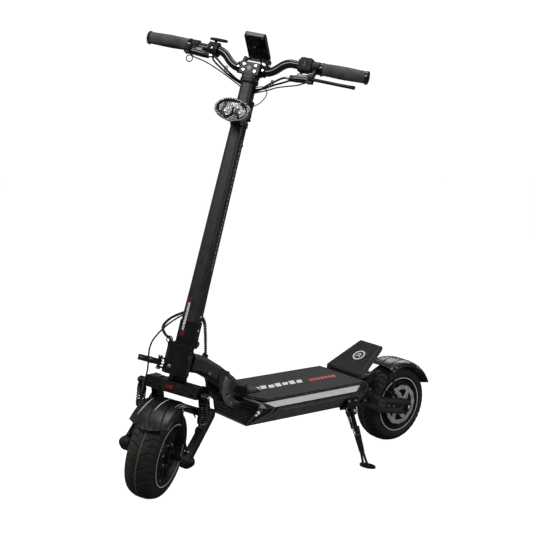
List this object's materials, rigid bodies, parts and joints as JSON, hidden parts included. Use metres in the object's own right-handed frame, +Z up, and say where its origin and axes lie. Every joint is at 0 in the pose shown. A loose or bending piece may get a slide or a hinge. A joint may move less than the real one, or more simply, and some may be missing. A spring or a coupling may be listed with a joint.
{
  "type": "electric kick scooter",
  "caption": "Folding electric kick scooter with fat pneumatic tyres, hub motors, swing-arm suspension, a wide deck and a side stand, parked with its wheel turned.",
  "frame": {"origin": "on the floor, under the middle of the overall box of the parked scooter", "axes": "+Z up, -Y is the way the rider faces and travels, +X is the rider's left, the side that the scooter leans to on its stand"},
  "size_m": [0.5501, 1.1827, 1.2652],
  "materials": {
    "bar_black": "gloss",
    "battery_wrap": "satin",
    "black_alloy": "satin",
    "black_steel": "satin",
    "cast_grey": "satin",
    "cast_olive": "satin",
    "gloss_black": "gloss",
    "grip_rubber": "matte",
    "grip_tape": "matte",
    "hose_rubber": "satin",
    "hub_black": "satin",
    "light_panel": "satin",
    "matte_plastic": "matte",
    "raw_alloy": "satin",
    "red_plastic": "gloss",
    "satin_black": "satin",
    "satin_plastic": "satin",
    "spring_black": "gloss",
    "steel": "satin",
    "tyre_rubber": "matte"
  },
  "bodies": {
    "deck": {"deck_shell": "black_alloy", "deck_lid": "black_alloy", "deck_mat": "grip_tape", "battery_pack": "battery_wrap", "motor_controller": "black_alloy", "led_panel_left": "light_panel", "led_panel_right": "light_panel", "neck": "cast_olive", "headset_bearing_lower": "steel", "headset_bearing_upper": "steel", "rear_casting": "cast_grey", "kickplate": "satin_plastic", "kickstand_bracket": "black_steel", "kickstand_spring": "spring_black"},
    "side_stand": {"kickstand_leg": "black_steel"},
    "rear_suspension": {"rear_swing_arm": "cast_grey", "rear_axle": "black_steel", "rear_fender": "satin_plastic", "rear_caliper": "black_alloy"},
    "rear_wheel": {"rear_tyre": "tyre_rubber", "rear_hub_motor": "hub_black", "rear_brake_disc": "steel"},
    "rear_damper": {"rear_shock_body": "black_alloy", "rear_shock_spring": "spring_black"},
    "rear_damper_rod": {"rear_shock_shaft": "steel"},
    "fork_body": {"fork": "black_alloy", "fold_base": "satin_black", "front_shock_left": "spring_black", "front_shock_right": "spring_black", "front_brake_hose_lower": "hose_rubber", "loom_rear_lower": "hose_rubber"},
    "front_suspension": {"front_swing_arm": "cast_grey", "front_axle": "black_steel", "front_fender": "satin_plastic", "front_caliper": "black_alloy"},
    "front_wheel": {"front_tyre": "tyre_rubber", "front_hub_motor": "hub_black", "front_brake_disc": "steel"},
    "fold_clamp": {"fold_lever": "black_steel"},
    "stem": {"stem_knuckle": "satin_black", "stem_tube": "black_alloy", "bar_clamp": "raw_alloy", "handlebar": "bar_black", "grip_left": "grip_rubber", "grip_right": "grip_rubber", "brake_perch_left": "black_alloy", "brake_perch_right": "black_alloy", "control_pod": "matte_plastic", "throttle_housing": "matte_plastic", "display": "gloss_black", "display_bracket": "black_alloy", "headlight": "gloss_black", "front_brake_hose_upper": "hose_rubber", "loom_side": "hose_rubber", "loom_rear_upper": "hose_rubber"},
    "stem_hook": {"fold_hook": "black_steel"},
    "left_brake": {"brake_lever_left": "black_alloy"},
    "right_brake": {"brake_lever_right": "black_alloy"},
    "horn": {"horn_button": "red_plastic"},
    "throttle": {"throttle_paddle": "matte_plastic"}
  },
  "joints": [
    {"name": "steering", "type": "hinge", "parent": "deck", "child": "fork_body", "pos_m": [-0.07212, -0.39241, 0.36097], "axis": [0.0847, 0.2355, 0.9682], "range_deg": [-77, 13], "deforming": ["loom_rear_lower"]},
    {"name": "stem_fold", "type": "hinge", "parent": "fork_body", "child": "stem", "pos_m": [-0.086, -0.35143, 0.40903], "axis": [-0.8339, -0.515, 0.1982], "range_deg": [0, 76], "deforming": ["front_brake_hose_upper", "loom_side", "loom_rear_upper"]},
    {"name": "fold_lever_turn", "type": "hinge", "parent": "fork_body", "child": "fold_clamp", "pos_m": [-0.08264, -0.45842, 0.36969], "axis": [0.0847, 0.2355, 0.9682], "range_deg": [0, 75]},
    {"name": "hook_swing", "type": "hinge", "parent": "stem", "child": "stem_hook", "pos_m": [-0.0344, -0.20094, 1.01707], "axis": [0.8339, 0.515, -0.1982], "range_deg": [-5, 75]},
    {"name": "front_arm", "type": "hinge", "parent": "fork_body", "child": "front_suspension", "pos_m": [-0.12948, -0.35297, 0.22213], "axis": [-0.8339, -0.515, 0.1982], "range_deg": [-1.5, 5], "stiffness_Nm_per_rad": 900, "springref_deg": -0.63, "deforming": ["front_shock_left", "front_shock_right", "front_brake_hose_lower"]},
    {"name": "front_wheel_spin", "type": "hinge", "parent": "front_suspension", "child": "front_wheel", "pos_m": [-0.07817, -0.47288, 0.12648], "axis": [0.8339, 0.515, -0.1982], "continuous": true},
    {"name": "rear_arm", "type": "hinge", "parent": "deck", "child": "rear_suspension", "pos_m": [-0.08753, 0.26069, 0.18489], "axis": [0.9962, 0, -0.0872], "range_deg": [-1.5, 8], "stiffness_Nm_per_rad": 1100, "springref_deg": -0.86},
    {"name": "rear_wheel_spin", "type": "hinge", "parent": "rear_suspension", "child": "rear_wheel", "pos_m": [-0.09262, 0.44807, 0.12672], "axis": [0.9962, 0, -0.0872], "continuous": true},
    {"name": "rear_damper_tilt", "type": "hinge", "parent": "deck", "child": "rear_damper", "pos_m": [-0.08413, 0.25377, 0.22376], "axis": [0.9962, 0, -0.0872], "range_deg": [-1.6, 8.2]},
    {"name": "rear_damper_stroke", "type": "slide", "parent": "rear_damper", "child": "rear_damper_rod", "axis": [0.0099, 0.9936, 0.113], "range_m": [-0.006, 0.0012], "deforming": ["rear_shock_spring"]},
    {"name": "stand_fold", "type": "hinge", "parent": "deck", "child": "side_stand", "pos_m": [0.00776, 0.17564, 0.14963], "axis": [0.9073, 0.0266, 0.4196], "range_deg": [0, 88], "deforming": ["kickstand_spring"]},
    {"name": "left_brake_pull", "type": "hinge", "parent": "stem", "child": "left_brake", "pos_m": [0.1701, -0.14765, 1.1179], "axis": [0.0847, 0.2355, 0.9682], "range_deg": [0, 12], "stiffness_Nm_per_rad": 1, "springref_deg": -8.59},
    {"name": "right_brake_pull", "type": "hinge", "parent": "stem", "child": "right_brake", "pos_m": [-0.12509, -0.32628, 1.20784], "axis": [-0.0847, -0.2355, -0.9682], "range_deg": [0, 12], "stiffness_Nm_per_rad": 1, "springref_deg": -8.59},
    {"name": "horn_press", "type": "slide", "parent": "stem", "child": "horn", "axis": [0.5453, -0.8242, 0.1528], "range_m": [0, 0.0025], "stiffness_N_per_m": 300, "springref_m": -0.002},
    {"name": "throttle_turn", "type": "hinge", "parent": "stem", "child": "throttle", "pos_m": [-0.10053, -0.25405, 1.20878], "axis": [0.8339, 0.515, -0.1982], "range_deg": [0, 30], "stiffness_Nm_per_rad": 0.15, "springref_deg": -17.19}
  ],
  "couplings": [
    {"joint": "rear_damper_tilt", "follows": "rear_arm", "ratio": 0.972},
    {"joint": "rear_damper_stroke", "follows": "rear_arm", "m_per_rad": -0.0396}
  ]
}
